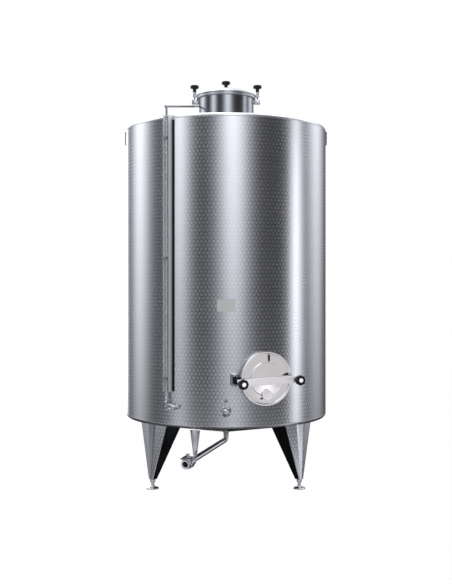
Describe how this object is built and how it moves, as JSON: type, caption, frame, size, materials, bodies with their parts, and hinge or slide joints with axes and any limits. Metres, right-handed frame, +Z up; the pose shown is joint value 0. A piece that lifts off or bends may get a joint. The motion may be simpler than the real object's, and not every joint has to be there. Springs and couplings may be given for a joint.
{
  "type": "stainless steel storage tank",
  "caption": "Upright round stainless steel storage tank on legs, with a hinged manway, lidded neck, level gauge, sample valve and bottom outlet with a ball valve.",
  "frame": {"origin": "middle of the footprint on the floor, under the feet; the tank axis stands 84.4 mm behind it, because the manway knobs reach forward", "axes": "+Z up along the tank axis; the front, with the name plate, faces -Y; +X to the right seen from the front"},
  "size_m": [1.431, 1.5688, 2.768],
  "materials": {
    "marbled_stainless": "circle-polished sheet",
    "brushed_stainless": "brushed",
    "polished_stainless": "polished",
    "black_plastic": "moulded, satin",
    "clear_tube": "clear",
    "dark_scale_strip": "matte",
    "gasket_rubber": "matte",
    "plate_grey": "matte, bare"
  },
  "bodies": {
    "tank": {"wall_segment_1": "marbled_stainless", "wall_segment_2": "marbled_stainless", "wall_segment_3": "marbled_stainless", "wall_segment_4": "marbled_stainless", "wall_segment_5": "marbled_stainless", "wall_segment_6": "marbled_stainless", "wall_segment_7": "marbled_stainless", "wall_segment_8": "marbled_stainless", "roof": "brushed_stainless", "bottom_cone": "brushed_stainless", "neck_flange": "brushed_stainless", "lifting_lug_left": "brushed_stainless", "lifting_lug_right": "brushed_stainless", "gauge_channel": "brushed_stainless", "gauge_cock": "brushed_stainless", "vent_pipe": "brushed_stainless", "manway_collar": "brushed_stainless", "manway_hinge": "brushed_stainless", "manway_catch": "brushed_stainless", "outlet_pipe": "brushed_stainless", "outlet_valve": "brushed_stainless", "pipe_hanger": "brushed_stainless", "neck": "polished_stainless", "lid": "polished_stainless", "sample_valve": "polished_stainless", "lid_knob": "black_plastic", "sight_tube": "clear_tube", "scale_strip": "dark_scale_strip", "name_plate": "plate_grey", "leg_front_left": "marbled_stainless", "foot_front_left": "brushed_stainless", "leg_front_right": "marbled_stainless", "foot_front_right": "brushed_stainless", "leg_back_left": "marbled_stainless", "foot_back_left": "brushed_stainless", "leg_back_right": "marbled_stainless", "foot_back_right": "brushed_stainless"},
    "manway_door": {"manway_door": "polished_stainless", "door_gasket": "gasket_rubber", "door_port": "polished_stainless", "clamp_bar": "polished_stainless", "clamp_knob_left": "black_plastic", "clamp_knob_right": "black_plastic"},
    "outlet_lever": {"outlet_lever": "brushed_stainless"},
    "gauge_lever": {"gauge_lever": "brushed_stainless"},
    "sample_handle": {"sample_handle": "brushed_stainless"},
    "swing_bolt_left": {"swing_bolt_left": "black_plastic"},
    "swing_bolt_right": {"swing_bolt_right": "black_plastic"}
  },
  "joints": [
    {"name": "manway_door_hinge", "type": "hinge", "parent": "tank", "child": "manway_door", "pos_m": [0.05962, -0.68003, 0.7405], "axis": [0, 0, -1], "range_deg": [0, 110]},
    {"name": "outlet_lever_turn", "type": "hinge", "parent": "tank", "child": "outlet_lever", "pos_m": [-0.24568, -0.48333, 0.22931], "axis": [-0.0367, -0.0848, 0.9957], "range_deg": [0, 90]},
    {"name": "gauge_lever_turn", "type": "hinge", "parent": "tank", "child": "gauge_lever", "pos_m": [-0.33515, -0.57846, 0.555], "axis": [-0.5195, -0.8545, 0], "range_deg": [0, 90]},
    {"name": "sample_handle_turn", "type": "hinge", "parent": "tank", "child": "sample_handle", "pos_m": [0, -0.6399, 0.5625], "axis": [0, 0, 1], "range_deg": [0, 90]},
    {"name": "swing_bolt_left_swing", "type": "hinge", "parent": "tank", "child": "swing_bolt_left", "pos_m": [-0.222, 0.0844, 2.62], "axis": [0, -1, 0], "range_deg": [0, 100]},
    {"name": "swing_bolt_right_swing", "type": "hinge", "parent": "tank", "child": "swing_bolt_right", "pos_m": [0.222, 0.0844, 2.62], "axis": [0, 1, 0], "range_deg": [0, 100]}
  ]
}
